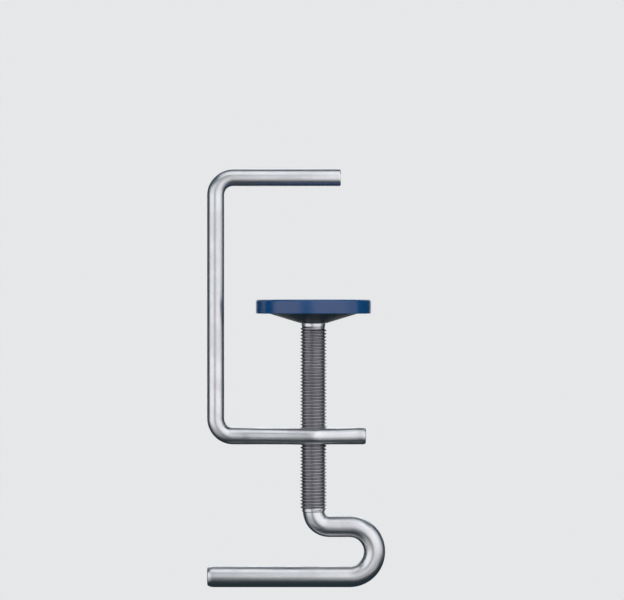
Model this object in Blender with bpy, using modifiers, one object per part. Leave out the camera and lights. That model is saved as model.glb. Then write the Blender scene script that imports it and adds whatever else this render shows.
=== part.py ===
"""Screw table clamp: a C-frame of bent steel rod, a threaded spindle with a bent crank, and a swivel pad.

Metres, +Z up. The origin is on the underside of the upper arm, straight above the spindle's axis, where the
clamp bears on the table. The frame lies in the XZ plane, with its leg at -X and its mouth towards +X.
"""

import math

import bmesh
import bpy
from mathutils import Vector

MM = 0.001

# Frame: one round rod bent into a C. Reaches are measured from the spindle's axis.
ROD_R = 2.6 * MM
ARM_SPACING = 78.2 * MM
LEG_OFFSET = 29.6 * MM
FRAME_BEND_R = 5.3 * MM
UPPER_REACH = 8.3 * MM
LOWER_REACH = 15.9 * MM
UPPER_CHAMFER = 0.15 * MM
LOWER_CHAMFER = 0.5 * MM
UPPER_Z = ROD_R
LOWER_Z = UPPER_Z - ARM_SPACING

FRAME_BEND_STEPS = 8

# Eye: the lower arm is pierced and spread sideways round the thread, at the rod's own height and section.
# It tapers slowly towards the leg and faster towards the rod's end.
EYE_SPREAD = 3.6 * MM
EYE_LEG_TAPER = 22.0 * MM
EYE_END_TAPER = 14.0 * MM
EYE_LEG_STEPS = 16
EYE_END_STEPS = 12
EYE_ROUNDING = 0.15
BORE_COUNTERSINK = 0.3 * MM
BORE_OVERRUN = 1.0 * MM

# Thread M8 x 1, right-handed.
THREAD_R = 4.0 * MM
PITCH = 1.0 * MM
CORE_R = 3.385 * MM
RIDGE_SINK = 0.1 * MM
RIDGE_STUB = 0.05 * MM
RIDGE_BASE = 0.94 * PITCH
SEGMENTS = 16
RUN_OUT_TURNS = 0.5
GAP = 0.3 * MM

# Heights above the lower arm's centre line at rest.
PAD_TOP = 41.3 * MM
PAD_CEILING = 39.5 * MM
PAD_BOTTOM = 37.0 * MM
HUB_TOP = 35.4 * MM
HUB_BOTTOM = 34.4 * MM
COLLAR_TOP = HUB_BOTTOM - GAP
THREAD_TOP = 33.3 * MM
THREAD_BOTTOM = -22.9 * MM
CORE_BOTTOM = -23.0 * MM
CRANK_UPPER = -27.4 * MM
CRANK_LOWER = -42.6 * MM
PIVOT_HEIGHT = (HUB_TOP + HUB_BOTTOM) / 2
PIVOT_Z = LOWER_Z + PIVOT_HEIGHT

# Spindle: collar, grooved tip and the crank bent from the same rod.
COLLAR_R = 3.65 * MM
NECK_R = 2.5 * MM
GROOVE_R = 2.0 * MM
GROOVE_BOTTOM = 35.6 * MM
GROOVE_TOP = 36.8 * MM
TIP_TOP = 37.8 * MM
TIP_CHAMFER = 0.3 * MM
CRANK_R = 3.25 * MM
CRANK_BEND_R = 4.8 * MM
CRANK_U_X = 10.9 * MM
CRANK_END_X = -32.2 * MM
CRANK_CHAMFER = 0.7 * MM
CRANK_SIDES = 16
CRANK_BEND_STEPS = 8
CRANK_U_STEPS = 16
CORE_OVERLAP = 2.0 * MM

# Retaining ring: an open clip in the tip's groove.
RING_INNER_R = GROOVE_R + GAP
RING_OUTER_R = 4.0 * MM
RING_BOTTOM = 35.9 * MM
RING_TOP = 36.5 * MM
RING_MOUTH = 3.4 * MM

# Pressure plate: a pressed dish with a flange, and the moulded cap that snaps over the flange.
PAD_R = 17.45 * MM
HUB_R = 4.06 * MM
HUB_HOLE_R = NECK_R + GAP
HUB_INSET = 0.25 * MM
DISH_R = 13.4 * MM
SHEET = 1.0 * MM
FLANGE_R = 14.6 * MM
FLANGE_TOP = PAD_CEILING - GAP
FLANGE_BOTTOM = FLANGE_TOP - SHEET
LIP_R = DISH_R + GAP
LIP_TOP = FLANGE_BOTTOM - GAP
UNDERCUT_R = FLANGE_R + GAP
PAD_EDGE_R = 0.8 * MM
PAD_LOWER_CHAMFER = 0.3 * MM
PAD_EDGE_STEPS = 4
PAD_STEPS = 64

# Meshing: points closer than this are one point, and sharper edges than this are not smoothed.
MERGE_DISTANCE = 0.001 * MM
SHARP_DEG = 40.0


def clear_scene():
    """Removes every object and every collection that the file starts with."""
    for old in list(bpy.data.objects):
        bpy.data.objects.remove(old, do_unlink=True)
    for old in list(bpy.data.collections):
        bpy.data.collections.remove(old)


def new_collection(name):
    """Returns a new collection linked to the scene."""
    made = bpy.data.collections.new(name)
    bpy.context.scene.collection.children.link(made)
    return made


def new_material(name, colour, metallic, roughness):
    """Returns a Principled material with one colour, metallic value and roughness."""
    made = bpy.data.materials.new(name)
    made.use_nodes = True
    shader = made.node_tree.nodes["Principled BSDF"]
    shader.inputs["Base Color"].default_value = (*colour, 1.0)
    shader.inputs["Metallic"].default_value = metallic
    shader.inputs["Roughness"].default_value = roughness
    made.diffuse_color = (*colour, 1.0)
    return made


def new_object(name, mesh, group, height):
    """Links a mesh object whose origin is on the spindle's axis, height above the lower arm's centre."""
    made = bpy.data.objects.new(name, mesh)
    group.objects.link(made)
    made.location = (0.0, 0.0, LOWER_Z + height)
    return made


def make_cutter(made):
    """Marks an object as a guide or cutter that is not part of the clamp."""
    made.hide_render = True
    made.display_type = "WIRE"


def add_boolean(target, operand, operation):
    """Cuts or joins operand to target with the exact solver."""
    step = target.modifiers.new(operation.title(), "BOOLEAN")
    step.operation = operation
    step.solver = "EXACT"
    step.object = operand


def turned(name, profile, closed, steps, group, height):
    """Turns a profile of (radius, height) points about Z. It runs down the outer side, top to bottom."""
    points = [(radius, 0.0, z - height) for radius, z in profile]
    edges = [(i, i + 1) for i in range(len(points) - 1)]
    if closed:
        edges.append((len(points) - 1, 0))
    mesh = bpy.data.meshes.new(name)
    mesh.from_pydata(points, edges, [])
    made = new_object(name, mesh, group, height)
    turn = made.modifiers.new("Turn", "SCREW")
    turn.axis = "Z"
    turn.steps = steps
    turn.render_steps = steps
    turn.use_merge_vertices = True
    turn.merge_threshold = MERGE_DISTANCE
    turn.use_smooth_shade = True
    return made


def loft(name, sections, group, height):
    """Skins rings of points that hold the same number of points, and caps both ends."""
    shape = bmesh.new()
    rings = [[shape.verts.new(point) for point in section] for section in sections]
    count = len(rings[0])
    for first, second in zip(rings, rings[1:]):
        for i in range(count):
            j = (i + 1) % count
            shape.faces.new((first[i], first[j], second[j], second[i]))
    shape.faces.new(rings[0])
    shape.faces.new(rings[-1])
    bmesh.ops.recalc_face_normals(shape, faces=shape.faces)
    mesh = bpy.data.meshes.new(name)
    shape.to_mesh(mesh)
    shape.free()
    mesh.shade_smooth()
    mesh.set_sharp_from_angle(angle=math.radians(SHARP_DEG))
    return new_object(name, mesh, group, height)


def arc(centre_x, centre_z, radius, start_deg, end_deg, steps):
    """Points (x, z) on an arc, both ends included. Angles run from +X towards +Z."""
    found = []
    for i in range(steps + 1):
        angle = math.radians(start_deg + (end_deg - start_deg) * i / steps)
        found.append((centre_x + radius * math.cos(angle), centre_z + radius * math.sin(angle)))
    return found


def swell(share):
    """The eye's spread, 0 to 1, at a share of its taper: an even slope with short rounded ends."""
    slope = 1.0 / (1.0 - EYE_ROUNDING)
    if share < EYE_ROUNDING:
        return slope * share * share / (2.0 * EYE_ROUNDING)
    if share > 1.0 - EYE_ROUNDING:
        return 1.0 - slope * (1.0 - share) ** 2 / (2.0 * EYE_ROUNDING)
    return slope * (share - EYE_ROUNDING / 2.0)


def frame_section(x, z, direction, radius, spread):
    """One ring of the frame rod: round where spread is 0, a wide flat-topped oval where it is 1."""
    along_x, along_z = direction
    points = []
    quarter = SEGMENTS // 4
    side = 2 * quarter
    outline = []
    for i in range(side + 1):
        turn = math.pi * (i / side - 0.5)
        outline.append((EYE_SPREAD + radius * math.cos(turn), radius * math.sin(turn)))
    for i in range(1, quarter):
        outline.append((EYE_SPREAD * (1.0 - 2.0 * i / quarter), radius))
    for i in range(side + 1):
        turn = math.pi * (i / side + 0.5)
        outline.append((-EYE_SPREAD + radius * math.cos(turn), radius * math.sin(turn)))
    for i in range(1, quarter):
        outline.append((EYE_SPREAD * (2.0 * i / quarter - 1.0), -radius))
    count = len(outline)
    for i, (wide_y, wide_in) in enumerate(outline):
        turn = 2.0 * math.pi * (i - side / 2) / count
        y = radius * math.cos(turn) * (1.0 - spread) + wide_y * spread
        inward = radius * math.sin(turn) * (1.0 - spread) + wide_in * spread
        points.append((x + inward * along_z, y, z - inward * along_x))
    return points


def make_frame(group, cutters):
    """The C-frame: lower arm with its eye, leg and upper arm, as one rod with a bore through the eye."""
    route = []
    route.append((LOWER_REACH, LOWER_Z, (-1.0, 0.0), ROD_R - LOWER_CHAMFER, 0.0))
    route.append((LOWER_REACH - LOWER_CHAMFER, LOWER_Z, (-1.0, 0.0), ROD_R, 0.0))
    for i in range(EYE_END_STEPS + 1):
        share = i / EYE_END_STEPS
        route.append((EYE_END_TAPER * (1.0 - share), LOWER_Z, (-1.0, 0.0), ROD_R, swell(share)))
    for i in range(1, EYE_LEG_STEPS + 1):
        share = i / EYE_LEG_STEPS
        route.append((-EYE_LEG_TAPER * share, LOWER_Z, (-1.0, 0.0), ROD_R, swell(1.0 - share)))
    bend_x = FRAME_BEND_R - LEG_OFFSET
    for centre_z, start, end in (
        (LOWER_Z + FRAME_BEND_R, 270.0, 180.0),
        (UPPER_Z - FRAME_BEND_R, 180.0, 90.0),
    ):
        for i, (x, z) in enumerate(arc(bend_x, centre_z, FRAME_BEND_R, start, end, FRAME_BEND_STEPS)):
            angle = math.radians(start + (end - start) * i / FRAME_BEND_STEPS)
            route.append((x, z, (math.sin(angle), -math.cos(angle)), ROD_R, 0.0))
    route.append((UPPER_REACH - UPPER_CHAMFER, UPPER_Z, (1.0, 0.0), ROD_R, 0.0))
    route.append((UPPER_REACH, UPPER_Z, (1.0, 0.0), ROD_R - UPPER_CHAMFER, 0.0))
    sections = [frame_section(*stop) for stop in route]
    frame = loft("frame", sections, group, -LOWER_Z)

    bore_r = THREAD_R + GAP
    flare_r = bore_r + BORE_COUNTERSINK + BORE_OVERRUN
    reach = ROD_R + BORE_OVERRUN
    straight = ROD_R - BORE_COUNTERSINK
    profile = [
        (0.0, reach),
        (flare_r, reach),
        (bore_r, straight),
        (bore_r, -straight),
        (flare_r, -reach),
        (0.0, -reach),
    ]
    bore = turned("eye_bore_cutter", profile, False, 2 * SEGMENTS, cutters, 0.0)
    make_cutter(bore)
    add_boolean(frame, bore, "DIFFERENCE")
    return frame


def make_ridge(cutters):
    """The thread's ridge: a V section swept up a right-handed helix, fading out at both ends."""
    turns = (THREAD_TOP - THREAD_BOTTOM) / PITCH - 1.0
    count = round(turns * SEGMENTS)
    base_r = CORE_R - RIDGE_SINK
    sections = []
    for i in range(count + 1):
        angle = 2.0 * math.pi * i / SEGMENTS
        middle = THREAD_BOTTOM + PITCH * (0.5 + i / SEGMENTS) - PIVOT_HEIGHT
        fade = min(1.0, min(i, count - i) / (RUN_OUT_TURNS * SEGMENTS))
        crest_r = base_r + RIDGE_STUB + (THREAD_R - base_r - RIDGE_STUB) * fade
        outward = Vector((math.cos(angle), math.sin(angle), 0.0))
        low = outward * base_r + Vector((0.0, 0.0, middle - RIDGE_BASE / 2))
        crest = outward * crest_r + Vector((0.0, 0.0, middle))
        high = outward * base_r + Vector((0.0, 0.0, middle + RIDGE_BASE / 2))
        sections.append((low, crest, high))
    ridge = loft("thread_ridge", sections, cutters, PIVOT_HEIGHT)
    make_cutter(ridge)
    return ridge


def make_crank(cutters):
    """The crank: straight down from the core, a bend to the right, a U-bend and the long bar back left."""
    route = [(0.0, CORE_BOTTOM + CORE_OVERLAP)]
    route += arc(CRANK_BEND_R, CRANK_UPPER + CRANK_BEND_R, CRANK_BEND_R, 180.0, 270.0, CRANK_BEND_STEPS)
    u_radius = (CRANK_UPPER - CRANK_LOWER) / 2
    route += arc(CRANK_U_X, CRANK_LOWER + u_radius, u_radius, 90.0, -90.0, CRANK_U_STEPS)
    route.append((CRANK_END_X + CRANK_CHAMFER, CRANK_LOWER))
    route.append((CRANK_END_X, CRANK_LOWER))
    curve = bpy.data.curves.new("crank_rod", "CURVE")
    curve.dimensions = "3D"
    curve.bevel_depth = CRANK_R
    curve.bevel_resolution = CRANK_SIDES // 2 - 2
    curve.use_fill_caps = True
    line = curve.splines.new("POLY")
    line.points.add(len(route) - 1)
    for point, (x, z) in zip(line.points, route):
        point.co = (x, 0.0, z - PIVOT_HEIGHT, 1.0)
    line.points[-1].radius = 1.0 - CRANK_CHAMFER / CRANK_R
    tube = bpy.data.objects.new("crank_tube", curve)
    cutters.objects.link(tube)
    graph = bpy.context.evaluated_depsgraph_get()
    mesh = bpy.data.meshes.new_from_object(tube.evaluated_get(graph))
    bpy.data.objects.remove(tube, do_unlink=True)
    shape = bmesh.new()
    shape.from_mesh(mesh)
    bmesh.ops.remove_doubles(shape, verts=shape.verts, dist=MERGE_DISTANCE)
    bmesh.ops.recalc_face_normals(shape, faces=shape.faces)
    shape.to_mesh(mesh)
    shape.free()
    crank = new_object("crank_rod", mesh, cutters, PIVOT_HEIGHT)
    make_cutter(crank)
    return crank


def make_spindle(group, cutters):
    """The spindle: grooved tip, collar and thread core turned in one, with the ridge and crank joined on."""
    profile = [
        (0.0, TIP_TOP),
        (NECK_R - TIP_CHAMFER, TIP_TOP),
        (NECK_R, TIP_TOP - TIP_CHAMFER),
        (NECK_R, GROOVE_TOP),
        (GROOVE_R, GROOVE_TOP),
        (GROOVE_R, GROOVE_BOTTOM),
        (NECK_R, GROOVE_BOTTOM),
        (NECK_R, COLLAR_TOP),
        (COLLAR_R, COLLAR_TOP),
        (COLLAR_R, THREAD_TOP),
        (CORE_R, THREAD_TOP),
        (CORE_R, CORE_BOTTOM),
        (0.0, CORE_BOTTOM),
    ]
    spindle = turned("spindle", profile, False, SEGMENTS, group, PIVOT_HEIGHT)
    add_boolean(spindle, make_ridge(cutters), "UNION")
    add_boolean(spindle, make_crank(cutters), "UNION")
    return spindle


def make_retaining_ring(group, cutters):
    """The open spring clip that sits in the tip's groove above the plate's hub."""
    profile = [
        (RING_OUTER_R, RING_TOP),
        (RING_OUTER_R, RING_BOTTOM),
        (RING_INNER_R, RING_BOTTOM),
        (RING_INNER_R, RING_TOP),
    ]
    ring = turned("retaining_ring", profile, True, 2 * SEGMENTS, group, PIVOT_HEIGHT)
    bpy.ops.mesh.primitive_cube_add(size=1.0)
    mouth = bpy.context.active_object
    mouth.name = "ring_mouth_cutter"
    for owner in list(mouth.users_collection):
        owner.objects.unlink(mouth)
    cutters.objects.link(mouth)
    mouth.location = (RING_OUTER_R, 0.0, LOWER_Z + (RING_BOTTOM + RING_TOP) / 2)
    mouth.scale = (2.0 * RING_OUTER_R, RING_MOUTH, 4.0 * (RING_TOP - RING_BOTTOM))
    make_cutter(mouth)
    add_boolean(ring, mouth, "DIFFERENCE")
    return ring


def make_pressure_plate(group):
    """The pressed dish that turns on the spindle's neck: hub, shallow cone, short wall and flange."""
    slope = (PAD_BOTTOM - HUB_BOTTOM) / (DISH_R - HUB_R)
    inner_hub_r = HUB_R - HUB_INSET
    inner_wall_r = DISH_R - SHEET
    inner_cone_top = HUB_TOP + (inner_wall_r - inner_hub_r) * slope
    profile = [
        (FLANGE_R, FLANGE_TOP),
        (FLANGE_R, FLANGE_BOTTOM),
        (DISH_R, FLANGE_BOTTOM),
        (DISH_R, PAD_BOTTOM),
        (HUB_R, HUB_BOTTOM),
        (HUB_HOLE_R, HUB_BOTTOM),
        (HUB_HOLE_R, HUB_TOP),
        (inner_hub_r, HUB_TOP),
        (inner_wall_r, inner_cone_top),
        (inner_wall_r, FLANGE_TOP),
    ]
    return turned("pressure_plate", profile, True, PAD_STEPS // 2, group, PIVOT_HEIGHT)


def make_pad_cap(group):
    """The moulded cap: a flat pressing face, a rounded rim and a lip that snaps under the plate's flange."""
    rounding = arc(PAD_R - PAD_EDGE_R, PAD_TOP - PAD_EDGE_R, PAD_EDGE_R, 90.0, 0.0, PAD_EDGE_STEPS)
    profile = [(0.0, PAD_TOP)]
    profile += rounding
    profile += [
        (PAD_R, PAD_BOTTOM + PAD_LOWER_CHAMFER),
        (PAD_R - PAD_LOWER_CHAMFER, PAD_BOTTOM),
        (LIP_R, PAD_BOTTOM),
        (LIP_R, LIP_TOP),
        (UNDERCUT_R, LIP_TOP),
        (UNDERCUT_R, PAD_CEILING),
        (0.0, PAD_CEILING),
    ]
    return turned("pad_cap", profile, False, PAD_STEPS, group, PIVOT_HEIGHT)


def main():
    """Builds the clamp at rest, with the pad part of the way up."""
    clear_scene()
    group = new_collection("screw_table_clamp")
    cutters = new_collection("cutters")
    frame = make_frame(group, cutters)
    ring = make_retaining_ring(group, cutters)
    spindle = make_spindle(group, cutters)
    plate = make_pressure_plate(group)
    cap = make_pad_cap(group)

    finishes = {
        frame: ("frame_steel", (0.66, 0.66, 0.67), 1.0, 0.32),
        spindle: ("spindle_steel", (0.58, 0.58, 0.60), 1.0, 0.35),
        ring: ("ring_steel", (0.30, 0.30, 0.31), 1.0, 0.45),
        plate: ("plate_steel", (0.035, 0.04, 0.045), 0.6, 0.45),
        cap: ("cap_plastic", (0.004, 0.075, 0.26), 0.0, 0.38),
    }
    for made, finish in finishes.items():
        made.data.materials.append(new_material(*finish))

    # The ring slides with the spindle's tip. The spindle turns and the pad tilts about the same point.
    carried = Vector((0.0, 0.0, PIVOT_Z))
    for made in (spindle, plate, cap):
        made.parent = ring
        made.location -= carried
    ring.parent = frame


main()
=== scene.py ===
"""Looks of the screw table clamp: bent rods, rolled thread, swivel pad, materials and studio.

Metres, +Z up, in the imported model's frame: the origin is on the underside of the upper arm,
straight above the spindle's axis, the frame's leg is at -X and the viewer of the main picture is
at -Y.
"""

import math

import bmesh
import bpy
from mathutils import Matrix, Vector


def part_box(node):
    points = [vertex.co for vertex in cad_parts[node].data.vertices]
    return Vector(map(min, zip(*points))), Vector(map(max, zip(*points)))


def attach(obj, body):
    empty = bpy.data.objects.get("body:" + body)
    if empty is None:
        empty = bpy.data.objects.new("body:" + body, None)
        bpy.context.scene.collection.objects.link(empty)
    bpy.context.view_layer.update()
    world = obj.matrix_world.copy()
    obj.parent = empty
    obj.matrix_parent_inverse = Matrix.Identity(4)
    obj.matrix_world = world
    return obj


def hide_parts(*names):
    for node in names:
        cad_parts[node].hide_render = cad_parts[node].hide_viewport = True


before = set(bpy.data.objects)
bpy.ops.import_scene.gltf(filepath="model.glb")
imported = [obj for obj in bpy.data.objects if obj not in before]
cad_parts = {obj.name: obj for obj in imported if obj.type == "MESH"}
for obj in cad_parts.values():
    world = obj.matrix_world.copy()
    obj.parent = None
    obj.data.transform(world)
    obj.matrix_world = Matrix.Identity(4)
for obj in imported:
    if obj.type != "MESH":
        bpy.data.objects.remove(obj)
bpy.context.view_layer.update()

MM = 0.001

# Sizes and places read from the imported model.
frame_low, frame_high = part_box("frame")
spindle_low, spindle_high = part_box("spindle")
ring_low, ring_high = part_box("retaining_ring")
plate_low, plate_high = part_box("pressure_plate")
cap_low, cap_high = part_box("pad_cap")

ROD_R = frame_high.z / 2
LOWER_Z = frame_low.z + ROD_R
LEG_X = frame_low.x + ROD_R
LOWER_REACH = frame_high.x
EYE_SPREAD = frame_high.y - ROD_R
THREAD_R = spindle_high.y
CRANK_END_X = spindle_low.x
TIP_TOP = spindle_high.z
PAD_R = cap_high.x
PAD_TOP = cap_high.z
PAD_BOTTOM = cap_low.z
FLANGE_R = plate_high.x
FLANGE_TOP = plate_high.z
HUB_BOTTOM = plate_low.z

# Sizes that the boxes don't give, the same as in the model.
UPPER_REACH = 8.3 * MM
FRAME_BEND_R = 5.3 * MM
EYE_LEG_TAPER = 22.0 * MM
EYE_END_TAPER = 14.0 * MM
EYE_ROUNDING = 0.15
GAP = 0.3 * MM
PITCH = 1.0 * MM
CORE_R = 3.385 * MM
COLLAR_R = 3.65 * MM
BAND_R = 3.5 * MM
NECK_R = 2.5 * MM
GROOVE_R = 2.0 * MM
GROOVE_BOTTOM = LOWER_Z + 35.6 * MM
GROOVE_TOP = LOWER_Z + 36.8 * MM
COLLAR_TOP = HUB_BOTTOM - GAP
CRANK_R = 3.25 * MM
CRANK_BEND_R = 4.8 * MM
CRANK_LOWER_Z = spindle_low.z + CRANK_R
CRANK_UPPER_Z = LOWER_Z - 27.4 * MM
CRANK_U_R = (CRANK_UPPER_Z - CRANK_LOWER_Z) / 2
CRANK_U_X = spindle_high.x - CRANK_R - CRANK_U_R
SHEET = 1.0 * MM
HUB_TOP = HUB_BOTTOM + SHEET
HUB_R = 4.06 * MM
HUB_HOLE_R = NECK_R + GAP
HUB_RIM = 0.25 * MM
DISH_R = 13.4 * MM
FLANGE_BOTTOM = FLANGE_TOP - SHEET
PAD_CEILING = FLANGE_TOP + GAP
LIP_R = DISH_R + GAP
LIP_TOP = FLANGE_BOTTOM - GAP
UNDERCUT_R = FLANGE_R + GAP

# How the rods' cut ends are rounded off: so far across the rod, and so far along it.
LOWER_ARM_END = (0.45 * MM, 1.0 * MM)
UPPER_ARM_END = (0.2 * MM, 0.4 * MM)
CRANK_END = (0.75 * MM, 2.2 * MM)

# The thread starts and ends where its grooves run out on the real rod.
THREAD_BOTTOM = LOWER_Z - 22.9 * MM
BAND_BOTTOM = LOWER_Z - 23.05 * MM
THREAD_START_DEG = -120.0
THREAD_END_DEG = -50.0
THREAD_WHOLE_TURNS = 55
RUN_OUT_TURNS = 0.5

ROD_SIDES = 64
EYE_SIXTH = 11
FRAME_SIDES = 6 * EYE_SIXTH
LATHE_SIDES = 160
SHARP_DEG = 35.0
UV = "along_rod"


# ---- Skins ----


class Skin:
    """A closed skin made ring by ring. Its UV map holds metres round the ring and along it."""

    def __init__(self, sides, radius):
        self.sides = sides
        self.girth = 2.0 * math.pi * radius
        self.points = []
        self.faces = []
        self.spots = []
        self.finishes = []
        self.last = None
        self.thread_start = 0
        self.thread_edge = []
        self.thread_start_edge = []

    def add_face(self, numbers, spots, finish=0):
        """One face with its places on the map and the number of its material."""
        self.faces.append(tuple(numbers))
        self.spots.append(spots)
        self.finishes.append(finish)

    def across(self, column):
        """Metres round the skin at a column."""
        return self.girth * column / self.sides

    def add_ring(self, points, along):
        """Adds a ring and joins it to the last one."""
        first = len(self.points)
        self.points.extend(points)
        ring = ([first + i for i in range(self.sides)], along)
        if self.last:
            self.join(self.last, ring)
        self.last = ring
        return ring

    def join(self, one, other):
        """Joins two rings of the same number of points."""
        for i in range(self.sides):
            j = (i + 1) % self.sides
            left, right = self.across(i), self.across(i + 1)
            numbers = (one[0][i], one[0][j], other[0][j], other[0][i])
            spots = ((left, one[1]), (right, one[1]), (right, other[1]), (left, other[1]))
            self.add_face(numbers, spots)

    def add_cap(self, ring, finish=0):
        """A flat face over a ring. Its map is a disc, so that it keeps its scale."""
        spots = []
        for i in range(self.sides):
            turn = 2.0 * math.pi * i / self.sides
            size = self.girth / (2.0 * math.pi)
            spots.append((size * math.cos(turn), ring[1] + size * math.sin(turn)))
        self.add_face(ring[0], spots, finish)

    def build(self, name, materials):
        """Makes the object, smooth but for its sharp edges."""
        mesh = bpy.data.meshes.new(name)
        mesh.from_pydata(self.points, [], self.faces)
        layer = mesh.uv_layers.new(name=UV)
        for polygon, spots, finish in zip(mesh.polygons, self.spots, self.finishes):
            polygon.material_index = finish
            for loop, spot in zip(polygon.loop_indices, spots):
                layer.data[loop].uv = spot
        for material in materials:
            mesh.materials.append(material)
        shape = bmesh.new()
        shape.from_mesh(mesh)
        bmesh.ops.recalc_face_normals(shape, faces=shape.faces)
        shape.to_mesh(mesh)
        shape.free()
        made = bpy.data.objects.new(name, mesh)
        bpy.context.scene.collection.objects.link(made)
        smooth(made)
        return made


def smooth(piece):
    """Shades a piece smooth but for its sharp edges."""
    piece.data.shade_smooth()
    piece.data.set_sharp_from_angle(angle=math.radians(SHARP_DEG))


def level_ring(z, radius, sides):
    """Points of a level circle round the spindle's axis."""
    turns = [2.0 * math.pi * i / sides for i in range(sides)]
    return [Vector((radius * math.cos(turn), radius * math.sin(turn), z)) for turn in turns]


def cross_ring(x, z, along_x, along_z, radius, sides):
    """Points of a circle across a rod that runs in the XZ plane."""
    points = []
    for i in range(sides):
        turn = 2.0 * math.pi * i / sides
        out = radius * math.cos(turn)
        points.append(Vector((x - out * along_z, radius * math.sin(turn), z + out * along_x)))
    return points


def rounded(corners, steps=5):
    """A profile of (radius, height, rounding) corners as plain (radius, height) points."""
    points = []
    for i, (radius, z, rounding) in enumerate(corners):
        here = Vector((radius, z))
        if not rounding:
            points.append(here)
            continue
        back = (Vector(corners[i - 1][:2]) - here).normalized() * rounding
        ahead = (Vector(corners[i + 1 - len(corners)][:2]) - here).normalized() * rounding
        for k in range(steps + 1):
            share = k / steps
            start = (here + back).lerp(here, share)
            end = here.lerp(here + ahead, share)
            points.append(start.lerp(end, share))
    return points


def turned(name, corners, materials, closed=False, sides=LATHE_SIDES):
    """Turns a profile of corners about the spindle's axis. A closed one makes a holed ring."""
    profile = rounded(corners)
    skin = Skin(sides, max(radius for radius, z, rounding in corners))
    along = 0.0
    rings = []
    for i, (radius, z) in enumerate(profile):
        if i:
            along += (profile[i] - profile[i - 1]).length
        rings.append(skin.add_ring(level_ring(z, radius, sides), along))
    if closed:
        skin.join(rings[-1], (rings[0][0], along + (profile[0] - profile[-1]).length))
    else:
        skin.add_cap(rings[0])
        skin.add_cap(rings[-1])
    return skin.build(name, materials)


def smooth_step(value):
    """Eases 0 to 1 with level ends."""
    value = min(1.0, max(0.0, value))
    return value * value * (3.0 - 2.0 * value)


def swell(share):
    """The eye's spread, 0 to 1, at a share of its taper: an even slope with short rounded ends."""
    slope = 1.0 / (1.0 - EYE_ROUNDING)
    if share < EYE_ROUNDING:
        return slope * share * share / (2.0 * EYE_ROUNDING)
    if share > 1.0 - EYE_ROUNDING:
        return 1.0 - slope * (1.0 - share) ** 2 / (2.0 * EYE_ROUNDING)
    return slope * (share - EYE_ROUNDING / 2.0)


def cut(target, tool):
    """Cuts tool out of target for good, and removes the tool."""
    step = target.modifiers.new("Cut", "BOOLEAN")
    step.operation = "DIFFERENCE"
    step.solver = "EXACT"
    step.object = tool
    graph = bpy.context.evaluated_depsgraph_get()
    mesh = bpy.data.meshes.new_from_object(target.evaluated_get(graph))
    target.modifiers.clear()
    target.data = mesh
    bpy.data.objects.remove(tool, do_unlink=True)


def cut_end(radius, rounding, length, steps=10):
    """A rod end as (distance from the end, radius) stops, from its slightly domed middle outwards.

    The edge is rounded off by rounding across the rod and by length along it.
    """
    dome = 0.02 * radius
    stops = [(0.0, 0.3 * radius), (0.4 * dome, 0.65 * radius)]
    for i in range(steps + 1):
        turn = math.pi / 2 * i / steps
        back = dome + length * (1.0 - math.cos(turn))
        stops.append((back, radius - rounding * (1.0 - math.sin(turn))))
    return stops


# ---- Frame ----


def frame_ring(x, z, along_x, along_z, radius, spread):
    """One ring of the frame rod: round where spread is 0, wide and flat-topped in the eye, at 1."""
    side = 2 * EYE_SIXTH
    outline = []
    for i in range(side + 1):
        turn = math.pi * (i / side - 0.5)
        outline.append((EYE_SPREAD + radius * math.cos(turn), radius * math.sin(turn)))
    for i in range(1, EYE_SIXTH):
        outline.append((EYE_SPREAD * (1.0 - 2.0 * i / EYE_SIXTH), radius))
    for i in range(side + 1):
        turn = math.pi * (i / side + 0.5)
        outline.append((-EYE_SPREAD + radius * math.cos(turn), radius * math.sin(turn)))
    for i in range(1, EYE_SIXTH):
        outline.append((EYE_SPREAD * (2.0 * i / EYE_SIXTH - 1.0), -radius))
    points = []
    for i, (wide_y, wide_in) in enumerate(outline):
        turn = 2.0 * math.pi * (i - side / 2) / FRAME_SIDES
        y = radius * math.cos(turn) * (1.0 - spread) + wide_y * spread
        inward = radius * math.sin(turn) * (1.0 - spread) + wide_in * spread
        points.append(Vector((x + inward * along_z, y, z - inward * along_x)))
    return points


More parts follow.
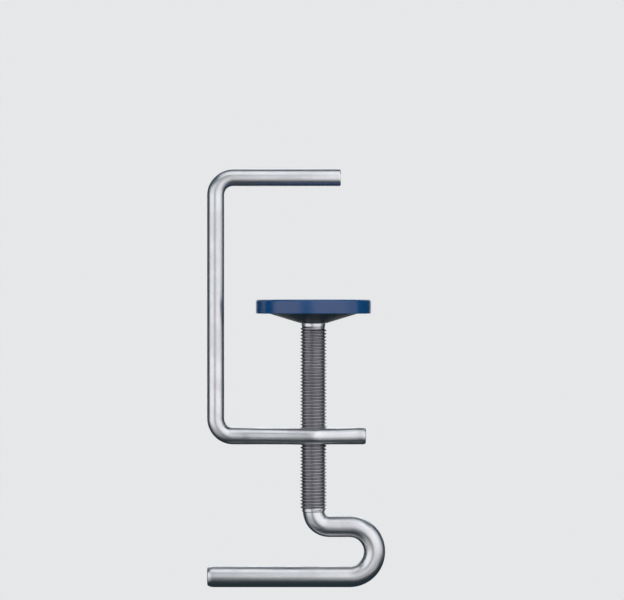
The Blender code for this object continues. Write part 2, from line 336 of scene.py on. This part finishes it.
def make_frame_rod(materials):
    """The C-frame as one drawn rod with an eye in its lower arm, tapped for the spindle."""
    skin = Skin(FRAME_SIDES, ROD_R)
    for i, (back, radius) in enumerate(cut_end(ROD_R, *LOWER_ARM_END)):
        ring = skin.add_ring(frame_ring(LOWER_REACH - back, LOWER_Z, -1.0, 0.0, radius, 0.0), back)
        if not i:
            skin.add_cap(ring, 1)
    taper_rings = 36
    shares = [i / taper_rings for i in range(taper_rings + 1)]
    tapers = [(EYE_END_TAPER * (1.0 - share), share) for share in shares[:-1]]
    tapers += [(-EYE_LEG_TAPER * share, 1.0 - share) for share in shares]
    for x, share in tapers:
        skin.add_ring(frame_ring(x, LOWER_Z, -1.0, 0.0, ROD_R, swell(share)), LOWER_REACH - x)
    bend_x = LEG_X + FRAME_BEND_R
    bend_length = FRAME_BEND_R * math.pi / 2
    straight = ROD_R - LOWER_Z - 2.0 * FRAME_BEND_R
    bend_rings = 24
    along = LOWER_REACH - bend_x
    for centre_z, start in ((LOWER_Z + FRAME_BEND_R, 270.0), (ROD_R - FRAME_BEND_R, 180.0)):
        for i in range(bend_rings + 1):
            turn = math.radians(start - 90.0 * i / bend_rings)
            x = bend_x + FRAME_BEND_R * math.cos(turn)
            z = centre_z + FRAME_BEND_R * math.sin(turn)
            ring = frame_ring(x, z, math.sin(turn), -math.cos(turn), ROD_R, 0.0)
            skin.add_ring(ring, along + bend_length * i / bend_rings)
        along += bend_length + straight
    along += UPPER_REACH - bend_x - straight
    for back, radius in reversed(cut_end(ROD_R, *UPPER_ARM_END)):
        points = frame_ring(UPPER_REACH - back, ROD_R, 1.0, 0.0, radius, 0.0)
        ring = skin.add_ring(points, along - back)
    skin.add_cap(ring, 1)
    rod = skin.build("frame_rod", materials)
    tap_eye(rod, materials)
    return rod


def tap_eye(rod, materials):
    """Cuts the spindle's thread and two countersinks through the eye."""
    clearance = 0.08 * MM
    tap_turns = 8
    plain_turns = 0.5
    whole = round((LOWER_Z - THREAD_BOTTOM) / PITCH - tap_turns / 2)
    bottom = THREAD_BOTTOM + whole * PITCH
    top = bottom + (tap_turns + 1 + plain_turns) * PITCH
    tap = Skin(ROD_SIDES, THREAD_R)
    tap.add_cap(tap.add_ring(level_ring(top, CORE_R + clearance, ROD_SIDES), 0.0))
    add_thread(tap, bottom, tap_turns * ROD_SIDES, clearance, 0.0)
    bottom_ring = level_ring(bottom - plain_turns * PITCH, CORE_R + clearance, ROD_SIDES)
    close_thread(tap, bottom_ring, (tap_turns + 1 + 2 * plain_turns) * PITCH)
    tap.add_cap(tap.last)
    cut(rod, tap.build("tap", materials))
    mouth_r = THREAD_R + 0.35 * MM
    beyond = 0.5 * MM
    depth = 1.2 * MM
    for side in (1.0, -1.0):
        face_z = LOWER_Z + side * ROD_R
        corners = [
            (mouth_r + beyond, face_z + side * beyond, 0.0),
            (mouth_r - depth, face_z - side * depth, 0.0),
        ]
        cut(rod, turned("countersink", corners, materials, sides=ROD_SIDES))
    smooth(rod)


# ---- Thread ----

# Half of one ridge of the standard 60 degree profile: share of the pitch from the root, and share
# of the depth.
HALF_PROFILE = ((0.0, 0.0), (0.06, 0.03), (0.12, 0.13), (0.42, 0.94), (0.44, 0.98), (0.47, 1.0))
PROFILE = HALF_PROFILE + tuple((1.0 - share, depth) for share, depth in reversed(HALF_PROFILE[1:]))


def add_thread(skin, bottom, count, clearance, run_out_turns):
    """Adds a right-handed thread of count steps below the skin's last ring.

    The thread is one strip that climbs round the axis: each step has a column of profile points,
    and the strip's upper edge is its own lower edge one turn further on. close_thread then joins
    its lower edge.
    """
    sides = skin.sides
    size = len(PROFILE)
    first = len(skin.points)
    start = round(THREAD_START_DEG / 360.0 * sides)
    top_ring, top_along = skin.last
    top_z = skin.points[top_ring[0]].z

    def fade(step):
        """How much of the full profile a step has."""
        if not run_out_turns:
            return 1.0
        return smooth_step(min(step, count - step) / (run_out_turns * sides))

    def add_point(step, share, depth, shown):
        full = CORE_R + (THREAD_R - CORE_R) * depth
        plain = COLLAR_R if step > count / 2 else BAND_R
        radius = plain + (full - plain) * shown + clearance
        turn = 2.0 * math.pi * (start + step) / sides
        z = bottom + PITCH * (step / sides + share)
        skin.points.append(Vector((radius * math.cos(turn), radius * math.sin(turn), z)))

    for step in range(count + sides + 1):
        add_point(step, 0.0, 0.0, max(fade(step), fade(step - sides)))
        if step <= count:
            for share, depth in PROFILE[1:]:
                add_point(step, share, depth, fade(step))

    def number(step, row=0):
        """The point at a row of a step's column."""
        if row == size:
            return number(step + sides)
        if step <= count:
            return first + step * size + row
        return first + (count + 1) * size + step - count - 1

    def along(point):
        """Metres along the skin, as far down as the point lies under the ring above."""
        return top_along + top_z - skin.points[point].z

    def add_quad(column, upper_left, upper_right, lower_right, lower_left):
        left, right = skin.across(column), skin.across(column + 1)
        spots = (
            (left, along(upper_left)),
            (right, along(upper_right)),
            (right, along(lower_right)),
            (left, along(lower_left)),
        )
        skin.add_face((upper_left, upper_right, lower_right, lower_left), spots)

    for step in range(count):
        column = (start + step) % sides
        for row in range(size):
            upper_left, upper_right = number(step, row + 1), number(step + 1, row + 1)
            add_quad(column, upper_left, upper_right, number(step + 1, row), number(step, row))

    end_column = (start + count) % sides
    end_edge = [number(count, row) for row in range(size + 1)]
    for k in range(sides):
        column = (end_column + k) % sides
        next_column = (column + 1) % sides
        upper_left, upper_right = top_ring[column], top_ring[next_column]
        if k:
            add_quad(column, upper_left, upper_right, number(count + k + 1), number(count + k))
            continue
        numbers = [upper_left, upper_right, number(count + 1)] + end_edge
        left, right = skin.across(column), skin.across(column + 1)
        spots = [(left, top_along), (right, top_along), (right, along(number(count + 1)))]
        spots += [(left, along(point)) for point in end_edge]
        skin.add_face(numbers, spots)

    skin.thread_edge = [number(k) for k in range(sides + 1)]
    skin.thread_start_edge = [number(0, row) for row in range(size, -1, -1)]
    skin.thread_start = start


def close_thread(skin, points, ring_along):
    """Adds a level ring under the thread and joins the thread's lower edge to it."""
    sides = skin.sides
    first = len(skin.points)
    skin.points.extend(points)
    ring = [first + i for i in range(sides)]
    ring_z = points[0].z

    def along(point):
        return ring_along - (skin.points[point].z - ring_z)

    for k in range(sides):
        column = (skin.thread_start + k) % sides
        next_column = (column + 1) % sides
        left, right = skin.across(column), skin.across(column + 1)
        upper = [skin.thread_edge[k]]
        upper += skin.thread_start_edge if k == sides - 1 else [skin.thread_edge[k + 1]]
        spots = [(left, along(upper[0]))] + [(right, along(point)) for point in upper[1:]]
        numbers = upper + [ring[next_column], ring[column]]
        skin.add_face(numbers, spots + [(right, ring_along), (left, ring_along)])
    skin.last = (ring, ring_along)


# ---- Spindle ----


def make_spindle_rod(materials):
    """The spindle as one skin: grooved tip, collar, rolled thread, plain band and bent crank."""
    skin = Skin(ROD_SIDES, THREAD_R)
    groove_edge = 0.08 * MM
    collar_height = 0.4 * MM
    tip_profile = rounded((
        (0.3 * NECK_R, TIP_TOP, 0.0),
        (NECK_R, TIP_TOP, 0.3 * MM),
        (NECK_R, GROOVE_TOP, groove_edge),
        (GROOVE_R, GROOVE_TOP, groove_edge),
        (GROOVE_R, GROOVE_BOTTOM, groove_edge),
        (NECK_R, GROOVE_BOTTOM, groove_edge),
        (NECK_R, COLLAR_TOP, 0.1 * MM),
        (COLLAR_R, COLLAR_TOP, 0.12 * MM),
        (COLLAR_R, COLLAR_TOP - collar_height, 0.0),
    ))
    along = 0.0
    for i, (radius, z) in enumerate(tip_profile):
        if i:
            along += (tip_profile[i] - tip_profile[i - 1]).length
        ring = skin.add_ring(level_ring(z, radius, ROD_SIDES), along)
        if not i:
            skin.add_cap(ring, 1)
    part_turn = (THREAD_END_DEG - THREAD_START_DEG) / 360.0
    count = round((THREAD_WHOLE_TURNS + part_turn) * ROD_SIDES)
    add_thread(skin, THREAD_BOTTOM, count, 0.0, RUN_OUT_TURNS)
    along += tip_profile[-1].y - BAND_BOTTOM
    step = BAND_R - CRANK_R
    close_thread(skin, level_ring(BAND_BOTTOM + step, BAND_R, ROD_SIDES), along - step)
    skin.add_ring(level_ring(BAND_BOTTOM, CRANK_R, ROD_SIDES), along)
    add_crank(skin, along)
    return skin.build("spindle_rod", materials)


def add_crank(skin, along):
    """Adds the crank's rings: first bend, upper bar, U-bend and the long bar to its sawn end."""
    start_z = BAND_BOTTOM - 0.05 * MM
    centre_z = CRANK_UPPER_Z + CRANK_BEND_R
    turns = [2.0 * math.pi * i / ROD_SIDES for i in range(ROD_SIDES)]
    arms = [CRANK_BEND_R - CRANK_R * math.cos(turn) for turn in turns]
    starts = [math.asin((centre_z - start_z) / arm) for arm in arms]
    first_bend_rings = 24
    for k in range(first_bend_rings + 1):
        share = k / first_bend_rings
        points = []
        for turn, arm, start in zip(turns, arms, starts):
            bend = start + (math.pi / 2 - start) * share
            x = CRANK_BEND_R - arm * math.cos(bend)
            z = centre_z - arm * math.sin(bend)
            points.append(Vector((x, CRANK_R * math.sin(turn), z)))
        skin.add_ring(points, along + CRANK_BEND_R * math.pi / 2 * share)
    along += CRANK_BEND_R * math.pi / 2 + CRANK_U_X - CRANK_BEND_R
    u_rings = 48
    for k in range(u_rings + 1):
        turn = math.pi / 2 - math.pi * k / u_rings
        x = CRANK_U_X + CRANK_U_R * math.cos(turn)
        z = CRANK_LOWER_Z + CRANK_U_R * (1.0 + math.sin(turn))
        ring = cross_ring(x, z, math.sin(turn), -math.cos(turn), CRANK_R, ROD_SIDES)
        skin.add_ring(ring, along + math.pi * CRANK_U_R * k / u_rings)
    along += math.pi * CRANK_U_R + CRANK_U_X - CRANK_END_X
    for back, radius in reversed(cut_end(CRANK_R, *CRANK_END)):
        points = cross_ring(CRANK_END_X + back, CRANK_LOWER_Z, -1.0, 0.0, radius, ROD_SIDES)
        ring = skin.add_ring(points, along - back)
    skin.add_cap(ring, 1)


# ---- Pad ----


def make_spring_ring(materials):
    """The open clip in the tip's groove: a stamped section swept round, with its mouth at +X."""
    mouth = 3.4 * MM
    outer = ring_high.y
    inner = GROOVE_R + GAP
    middle_r, half_width = (outer + inner) / 2, (outer - inner) / 2
    half_height = (ring_high.z - ring_low.z) / 2
    middle_z = (ring_high.z + ring_low.z) / 2
    edge = 0.12 * MM
    edge_steps = 4
    section = []
    for corner_x, corner_z, start in ((1, 1, 0), (-1, 1, 90), (-1, -1, 180), (1, -1, 270)):
        for k in range(edge_steps + 1):
            turn = math.radians(start + 90.0 * k / edge_steps)
            out = corner_x * (half_width - edge) + edge * math.cos(turn)
            up = corner_z * (half_height - edge) + edge * math.sin(turn)
            section.append((out, up))
    skin = Skin(len(section), half_width)
    half_mouth = math.asin(mouth / 2 / middle_r)
    sweep = 2.0 * (math.pi - half_mouth)
    rings = 96
    for k in range(rings + 1):
        turn = half_mouth + sweep * k / rings
        outward = Vector((math.cos(turn), math.sin(turn), 0.0))
        points = []
        for out, up in section:
            points.append(outward * (middle_r + out) + Vector((0.0, 0.0, middle_z + up)))
        ring = skin.add_ring(points, middle_r * sweep * k / rings)
        if not k:
            skin.add_cap(ring)
    skin.add_cap(ring)
    return skin.build("spring_ring", materials)


def make_pressed_plate(materials):
    """The pressed steel dish on the spindle's neck: flange, short wall, shallow cone and hub."""
    slope = (PAD_BOTTOM - HUB_BOTTOM) / (DISH_R - HUB_R)
    inner_hub_r = HUB_R - 0.25 * SHEET
    inner_wall_r = DISH_R - SHEET
    inner_cone_top = HUB_TOP + (inner_wall_r - inner_hub_r) * slope
    edge = 0.15 * MM
    wall_bend = 0.35 * MM
    recess_r = COLLAR_R + 0.1 * MM
    rim_bottom = HUB_BOTTOM - HUB_RIM
    corners = (
        (FLANGE_R, (FLANGE_TOP + FLANGE_BOTTOM) / 2, 0.0),
        (FLANGE_R, FLANGE_BOTTOM, edge),
        (DISH_R, FLANGE_BOTTOM, edge),
        (DISH_R, PAD_BOTTOM, wall_bend),
        (HUB_R, rim_bottom, 0.08 * MM),
        (COLLAR_R + 0.2 * MM, rim_bottom, 0.04 * MM),
        (recess_r, HUB_BOTTOM, 0.0),
        (HUB_HOLE_R, HUB_BOTTOM, edge),
        (HUB_HOLE_R, HUB_TOP, edge),
        (inner_hub_r, HUB_TOP, edge),
        (inner_wall_r, inner_cone_top, edge),
        (inner_wall_r, FLANGE_TOP, edge),
        (FLANGE_R, FLANGE_TOP, edge),
    )
    return turned("pressed_plate", corners, materials, closed=True)


def make_moulded_cap(materials):
    """The plastic cap: flat top with a gate mark, rounded rim, and a lip that holds the flange."""
    gate_r = 0.9 * MM
    gate_depth = 0.2 * MM
    gate_edge = 0.08 * MM
    top_rim = 0.8 * MM
    lower_rim = 0.3 * MM
    corners = (
        (0.2 * gate_r, PAD_TOP - 0.6 * gate_depth, 0.0),
        (0.45 * gate_r, PAD_TOP - gate_depth, 0.05 * MM),
        (gate_r, PAD_TOP - gate_depth, gate_edge),
        (gate_r + 0.5 * gate_depth, PAD_TOP, gate_edge),
        (PAD_R, PAD_TOP, top_rim),
        (PAD_R, PAD_BOTTOM, lower_rim),
        (LIP_R, PAD_BOTTOM, 0.2 * MM),
        (LIP_R, LIP_TOP, 0.15 * MM),
        (UNDERCUT_R, LIP_TOP, 0.1 * MM),
        (UNDERCUT_R, PAD_CEILING, 0.1 * MM),
        (gate_r, PAD_CEILING, 0.0),
    )
    return turned("moulded_cap", corners, materials)


# ---- Materials ----


class Recipe:
    """A node material in the making, with short calls for the nodes that the finishes share."""

    def __init__(self, name):
        self.material = bpy.data.materials.new(name)
        self.material.use_nodes = True
        self.tree = self.material.node_tree
        self.shader = self.tree.nodes["Principled BSDF"]
        self.height = None

    def node(self, kind, **values):
        made = self.tree.nodes.new(kind)
        for key, value in values.items():
            setattr(made, key, value)
        return made

    def link(self, output, target):
        self.tree.links.new(output, target)

    def number(self, operation, first, second):
        """A Math node's result. Inputs are sockets or numbers."""
        made = self.node("ShaderNodeMath", operation=operation)
        for i, value in enumerate((first, second)):
            if isinstance(value, float):
                made.inputs[i].default_value = value
            else:
                self.link(value, made.inputs[i])
        return made.outputs[0]

    def stretch(self, value, low, high, to_low=0.0, to_high=1.0):
        """Maps low to high onto to_low to to_high, smoothly and clamped."""
        made = self.node("ShaderNodeMapRange", interpolation_type="SMOOTHSTEP")
        self.link(value, made.inputs["Value"])
        made.inputs["From Min"].default_value = low
        made.inputs["From Max"].default_value = high
        made.inputs["To Min"].default_value = to_low
        made.inputs["To Max"].default_value = to_high
        return made.outputs["Result"]

    def object_place(self):
        return self.node("ShaderNodeTexCoord").outputs["Object"]

    def rod_place(self, across_scale, along_scale):
        """The rod's own map, scaled per metre round and along it."""
        source = self.node("ShaderNodeUVMap", uv_map=UV)
        made = self.node("ShaderNodeMapping")
        made.inputs["Scale"].default_value = (across_scale, along_scale, 1.0)
        self.link(source.outputs["UV"], made.inputs["Vector"])
        return made.outputs["Vector"]

    def noise(self, place, scale, detail=3.0, roughness=0.5):
        made = self.node("ShaderNodeTexNoise")
        made.inputs["Scale"].default_value = scale
        made.inputs["Detail"].default_value = detail
        made.inputs["Roughness"].default_value = roughness
        self.link(place, made.inputs["Vector"])
        return made.outputs["Fac"]

    def colours(self, share, first, second):
        """Mixes two colours, which are numbers or sockets, by a share."""
        made = self.node("ShaderNodeMix", data_type="RGBA")
        self.link(share, made.inputs[0])
        for socket, value in ((made.inputs[6], first), (made.inputs[7], second)):
            if isinstance(value, tuple):
                socket.default_value = (*value, 1.0)
            else:
                self.link(value, socket)
        return made.outputs[2]

    def bump(self, height, distance):
        """Adds a layer of relief, distance metres deep."""
        made = self.node("ShaderNodeBump")
        made.inputs["Strength"].default_value = 1.0
        made.inputs["Distance"].default_value = distance
        self.link(height, made.inputs["Height"])
        if self.height:
            self.link(self.height, made.inputs["Normal"])
        self.height = made.outputs["Normal"]
        self.link(self.height, self.shader.inputs["Normal"])

    def set(self, **values):
        """Sets or links the shader's sockets, by name with _ for a space."""
        for key, value in values.items():
            socket = self.shader.inputs[key.replace("_", " ")]
            if isinstance(value, bpy.types.NodeSocket):
                self.link(value, socket)
            elif isinstance(value, tuple):
                socket.default_value = (*value, 1.0)
            else:
                socket.default_value = value


PLATING = (0.71, 0.70, 0.72)
PLATING_SHADE = (0.63, 0.62, 0.645)
THREAD_STEEL = (0.30, 0.28, 0.32)
# Painted shade: the colour that the thread's roots are darkened towards, where shade falls in the
# grooves.
ROOT_PAINTED_SHADE = (0.14, 0.13, 0.145)
COATING = (0.006, 0.018, 0.028)
COATING_PALE = (0.011, 0.027, 0.040)
PLASTIC = (0.0008, 0.060, 0.195)
PLASTIC_PALE = (0.0011, 0.070, 0.220)
PLASTIC_SCUFF = (0.05, 0.16, 0.33)
PLASTIC_SHEEN = (1.0, 0.75, 0.62)
SPRING_DARK = (0.16, 0.155, 0.16)
SPRING_PALE = (0.30, 0.295, 0.30)
PAPER = (0.90, 0.91, 0.92)

# How much of its own colour the thread shows over the plating, and how far its roots are darkened
# with painted shade.
THREAD_SHARE = 0.42
ROOT_SHADE_SHARE = 0.50


def plated_steel(name, threaded):
    """Satin plating over drawn rod: faint draw lines, cloudy patches, fine pits and scratches; the
    thread's roots get painted shade.
    """
    made = Recipe(name)
    place = made.object_place()
    clouds = made.noise(place, 160.0, 4.0)
    lines = made.noise(made.rod_place(7000.0, 45.0), 1.0, 3.0, 0.6)
    pits = made.noise(place, 5200.0, 2.0)
    scuffs = made.stretch(made.noise(made.rod_place(900.0, 2600.0), 1.0, 2.0, 0.4), 0.70, 0.76)
    colour = made.colours(made.stretch(clouds, 0.35, 0.65), PLATING_SHADE, PLATING)
    roughness = made.stretch(clouds, 0.3, 0.7, 0.34, 0.29)
    roughness = made.number("ADD", roughness, made.stretch(lines, 0.3, 0.7, -0.02, 0.03))
    roughness = made.number("ADD", roughness, made.number("MULTIPLY", scuffs, 0.08))
    if threaded:
        flat = made.node("ShaderNodeVectorMath", operation="MULTIPLY")
        flat.inputs[1].default_value = (1.0, 1.0, 0.0)
        made.link(place, flat.inputs[0])
        radius = made.node("ShaderNodeVectorMath", operation="LENGTH")
        made.link(flat.outputs["Vector"], radius.inputs[0])
        height = made.node("ShaderNodeSeparateXYZ")
        made.link(place, height.inputs["Vector"])
        level = height.outputs["Z"]
        above = made.stretch(level, BAND_BOTTOM + 0.6 * MM, BAND_BOTTOM + 1.4 * MM)
        below = made.stretch(level, COLLAR_TOP - 1.2 * MM, COLLAR_TOP - 0.7 * MM, 1.0, 0.0)
        rolled = made.number("MULTIPLY", above, below)
        reach = radius.outputs["Value"]
        # Painted shade in the thread's roots: darkest at the core, fading out towards the crests.
        root = made.stretch(reach, CORE_R + 0.1 * MM, THREAD_R - 0.08 * MM, 1.0, 0.0)
        root = made.number("MULTIPLY", rolled, root)
        colour = made.colours(made.number("MULTIPLY", rolled, THREAD_SHARE), colour, THREAD_STEEL)
        colour = made.colours(made.number("MULTIPLY", root, ROOT_SHADE_SHARE), colour, ROOT_PAINTED_SHADE)
        roughness = made.number("ADD", roughness, made.number("MULTIPLY", rolled, 0.06))
    made.set(Base_Color=colour, Metallic=1.0, Roughness=roughness)
    made.bump(lines, 0.0006 * MM)
    made.bump(pits, 0.0006 * MM)
    return made.material


def sawn_steel(name):
    """The rod's cut ends: plated over fine saw lines."""
    made = Recipe(name)
    place = made.object_place()
    strokes = made.node("ShaderNodeTexWave", wave_type="BANDS", bands_direction="Z")
    strokes.inputs["Scale"].default_value = 900.0
    strokes.inputs["Distortion"].default_value = 2.5
    strokes.inputs["Detail"].default_value = 2.0
    made.link(place, strokes.inputs["Vector"])
    lines = strokes.outputs["Fac"]
    made.set(
        Base_Color=made.colours(made.noise(place, 700.0), PLATING_SHADE, PLATING),
        Metallic=1.0,
        Roughness=made.stretch(lines, 0.0, 1.0, 0.34, 0.44),
    )
    made.bump(lines, 0.006 * MM)
    return made.material


def coated_steel(name):
    """Black coating on pressed steel: fine grain, clouds and faint press marks round the dish."""
    made = Recipe(name)
    place = made.object_place()
    grain = made.noise(place, 2600.0, 3.0, 0.6)
    clouds = made.noise(place, 220.0, 4.0)
    marks = made.noise(made.rod_place(12.0, 5200.0), 1.0, 2.0)
    colour = made.colours(made.stretch(clouds, 0.3, 0.7), COATING, COATING_PALE)
    made.set(Base_Color=colour, Roughness=made.stretch(clouds, 0.3, 0.7, 0.52, 0.44))
    made.bump(grain, 0.004 * MM)
    made.bump(marks, 0.002 * MM)
    return made.material


def moulded_plastic(name):
    """Dark blue moulded plastic: a fine eroded texture, slight flow clouds and paler scuffs."""
    made = Recipe(name)
    place = made.object_place()
    texture = made.noise(place, 3400.0, 3.0, 0.55)
    flow = made.noise(place, 130.0, 3.0)
    scuffs = made.stretch(made.noise(place, 1500.0, 3.0, 0.7), 0.60, 0.70)
    shade = made.colours(made.stretch(flow, 0.3, 0.7), PLASTIC, PLASTIC_PALE)
    roughness = made.stretch(flow, 0.3, 0.7, 0.26, 0.21)
    made.set(
        Base_Color=made.colours(made.number("MULTIPLY", scuffs, 0.18), shade, PLASTIC_SCUFF),
        Roughness=made.number("ADD", roughness, made.number("MULTIPLY", scuffs, 0.12)),
        Specular_IOR_Level=0.7,
        Specular_Tint=PLASTIC_SHEEN,
    )
    made.bump(texture, 0.006 * MM)
    return made.material


def spring_steel(name):
    """Oil-blackened spring steel with stamped edges."""
    made = Recipe(name)
    place = made.object_place()
    clouds = made.noise(place, 900.0, 3.0)
    grain = made.noise(place, 6000.0, 2.0)
    colour = made.colours(made.stretch(clouds, 0.3, 0.7), SPRING_DARK, SPRING_PALE)
    made.set(Base_Color=colour, Metallic=1.0, Roughness=made.stretch(clouds, 0.3, 0.7, 0.5, 0.36))
    made.bump(grain, 0.002 * MM)
    return made.material


# ---- Studio ----

# How far the standing soft boxes are from the spindle's axis.
STUDIO_R = 0.30

# Standing soft boxes: angles from the camera's side, positive to the right, then low and high edge
# and brightness. The dim strip between left and right draws the thin line down the upright rods.
STANDING_BOXES = (
    ("left_box", -85.0, -25.0, -0.16, 0.12, 1.15),
    ("left_low", -85.0, -25.0, -0.36, -0.16, 0.50),
    ("dim_strip", -25.0, -3.0, -0.16, 0.12, 0.40),
    ("right_box", -3.0, 70.0, -0.16, 0.24, 1.16),
    ("right_low", -3.0, 70.0, -0.36, -0.16, 0.50),
    ("right_wing", 70.0, 96.0, -0.16, 0.24, 0.7),
    ("back_box", 155.0, 205.0, -0.16, 0.20, 1.0),
)

# Overhead soft boxes: place, the point they face, width, height and brightness.
OVERHEAD_BOXES = (
    ("top_box", (0.0, -0.15, 0.30), (0.0, 0.0, -0.05), 0.5, 0.34, 1.12),
    ("top_back_box", (0.0, 0.30, 0.17), (0.0, 0.0, -0.03), 0.5, 0.2, 0.6),
)

FLOOR_DROP = 0.036
FLOOR_FLAT_R = 1.6
WALL_R = 2.6
WALL_TOP = 3.2
PAPER_GLOW = 0.88

# The world's light: its colour, and the height of the direction it comes from with its strength
# there, where it is dimmest and where it is brightest. The last is the colour that the camera sees.
WORLD_TINT = (0.45, 0.80, 1.0, 1.0)
WORLD_LOW = (-0.6, 0.04)
WORLD_HIGH = (0.9, 0.12)
WORLD_SEEN = (0.79, 0.80, 0.81, 1.0)

CAMERA_LENS = 200.0
CAMERA_PLACE = (-0.44 * MM, -1.05, LOWER_Z + 41.13 * MM)


def soft_box(name, place, aim, width, height, brightness):
    """A studio light seen in reflections, not by the camera. Brightness 1 reflects as white."""
    lamp = bpy.data.lights.new(name, "AREA")
    lamp.shape = "RECTANGLE"
    lamp.size = width
    lamp.size_y = height
    lamp.energy = math.pi * width * height * brightness
    made = bpy.data.objects.new(name, lamp)
    bpy.context.scene.collection.objects.link(made)
    made.location = place
    made.rotation_euler = (Vector(aim) - Vector(place)).to_track_quat("-Z", "Y").to_euler()
    made.visible_camera = False


def standing_box(name, from_deg, to_deg, low, high, brightness):
    """An upright soft box beside the clamp, between two angles from the camera's side."""
    middle = math.radians((from_deg + to_deg) / 2)
    width = 2.0 * STUDIO_R * math.tan(math.radians(to_deg - from_deg) / 2)
    z = (low + high) / 2
    place = (STUDIO_R * math.sin(middle), -STUDIO_R * math.cos(middle), z)
    soft_box(name, place, (0.0, 0.0, z), width, high - low, brightness)


def make_backdrop():
    """A pale floor that curves up into a round wall behind every view. From below it is clear."""
    floor_z = spindle_low.z - FLOOR_DROP
    profile = [(0.02, 0.0), (0.5 * FLOOR_FLAT_R, 0.0), (FLOOR_FLAT_R, 0.0)]
    curve = WALL_R - FLOOR_FLAT_R
    curve_steps = 16
    for i in range(1, curve_steps + 1):
        turn = math.pi / 2 * i / curve_steps
        profile.append((FLOOR_FLAT_R + curve * math.sin(turn), curve * (1.0 - math.cos(turn))))
    profile.append((WALL_R, WALL_TOP))
    sides = 96
    points = []
    faces = []
    for radius, height in profile:
        points.extend(level_ring(floor_z + height, radius, sides))
    for k in range(len(profile) - 1):
        for i in range(sides):
            j = (i + 1) % sides
            faces.append((k * sides + i, (k + 1) * sides + i, (k + 1) * sides + j, k * sides + j))
    faces.append(tuple(range(sides)))
    mesh = bpy.data.meshes.new("floor")
    mesh.from_pydata(points, [], faces)
    mesh.shade_smooth()
    floor = bpy.data.objects.new("floor", mesh)
    bpy.context.scene.collection.objects.link(floor)
    paper = Recipe("pale_paper")
    paper.set(
        Base_Color=(0.0, 0.0, 0.0),
        Roughness=1.0,
        Specular_IOR_Level=0.0,
        Emission_Color=PAPER,
        Emission_Strength=PAPER_GLOW,
    )
    clear = paper.node("ShaderNodeBsdfTransparent")
    side = paper.node("ShaderNodeNewGeometry")
    mix = paper.node("ShaderNodeMixShader")
    paper.link(side.outputs["Backfacing"], mix.inputs[0])
    paper.link(paper.shader.outputs[0], mix.inputs[1])
    paper.link(clear.outputs[0], mix.inputs[2])
    paper.link(mix.outputs[0], paper.tree.nodes["Material Output"].inputs["Surface"])
    mesh.materials.append(paper.material)
    floor.visible_glossy = False
    floor.visible_diffuse = False
    floor.visible_shadow = False


def make_world():
    """Dim light all round, brighter overhead. The camera sees a pale colour past the backdrop."""
    world = bpy.data.worlds.new("studio_world")
    bpy.context.scene.world = world
    world.use_nodes = True
    tree = world.node_tree
    tree.nodes.clear()
    direction = tree.nodes.new("ShaderNodeTexCoord")
    split = tree.nodes.new("ShaderNodeSeparateXYZ")
    rise = tree.nodes.new("ShaderNodeMapRange")
    rise.interpolation_type = "SMOOTHSTEP"
    rise.inputs["From Min"].default_value, rise.inputs["To Min"].default_value = WORLD_LOW
    rise.inputs["From Max"].default_value, rise.inputs["To Max"].default_value = WORLD_HIGH
    dim = tree.nodes.new("ShaderNodeBackground")
    dim.inputs["Color"].default_value = WORLD_TINT
    pale = tree.nodes.new("ShaderNodeBackground")
    pale.inputs["Color"].default_value = WORLD_SEEN
    path = tree.nodes.new("ShaderNodeLightPath")
    mix = tree.nodes.new("ShaderNodeMixShader")
    out = tree.nodes.new("ShaderNodeOutputWorld")
    tree.links.new(direction.outputs["Generated"], split.inputs["Vector"])
    tree.links.new(split.outputs["Z"], rise.inputs["Value"])
    tree.links.new(rise.outputs["Result"], dim.inputs["Strength"])
    tree.links.new(path.outputs["Is Camera Ray"], mix.inputs[0])
    tree.links.new(dim.outputs[0], mix.inputs[1])
    tree.links.new(pale.outputs[0], mix.inputs[2])
    tree.links.new(mix.outputs[0], out.inputs["Surface"])


def make_camera():
    """A long lens straight in front of the clamp, level with the pad's top."""
    data = bpy.data.cameras.new("camera")
    data.lens = CAMERA_LENS
    data.sensor_width = 36.0
    data.clip_end = 20.0
    camera = bpy.data.objects.new("camera", data)
    bpy.context.scene.collection.objects.link(camera)
    camera.location = CAMERA_PLACE
    camera.rotation_euler = (math.pi / 2, 0.0, 0.0)
    bpy.context.scene.camera = camera


def make_lights():
    """Boxes left and right with a dim strip between, dim ones below, one behind, two overhead."""
    for box in STANDING_BOXES:
        standing_box(*box)
    for box in OVERHEAD_BOXES:
        soft_box(*box)


# ---- Assembly ----

frame_plating = plated_steel("frame_plating", False)
spindle_plating = plated_steel("spindle_plating", True)
sawn = sawn_steel("sawn_end")

spring = spring_steel("blackened_spring")
coating = coated_steel("black_coating")
plastic = moulded_plastic("blue_plastic")

pieces = (
    (make_frame_rod([frame_plating, sawn]), "frame", "frame", "frame_steel"),
    (make_spindle_rod([spindle_plating, sawn]), "spindle", "spindle", "spindle_steel"),
    (make_spring_ring([spring]), "swivel", "retaining_ring", "ring_steel"),
    (make_pressed_plate([coating]), "pad", "pressure_plate", "plate_steel"),
    (make_moulded_cap([plastic]), "pad", "pad_cap", "cap_plastic"),
)
for piece, body, node, slot in pieces:
    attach(piece, body)
    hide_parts(node)

make_backdrop()
make_world()
make_camera()
make_lights()
bpy.context.scene.view_settings.view_transform = "Standard"
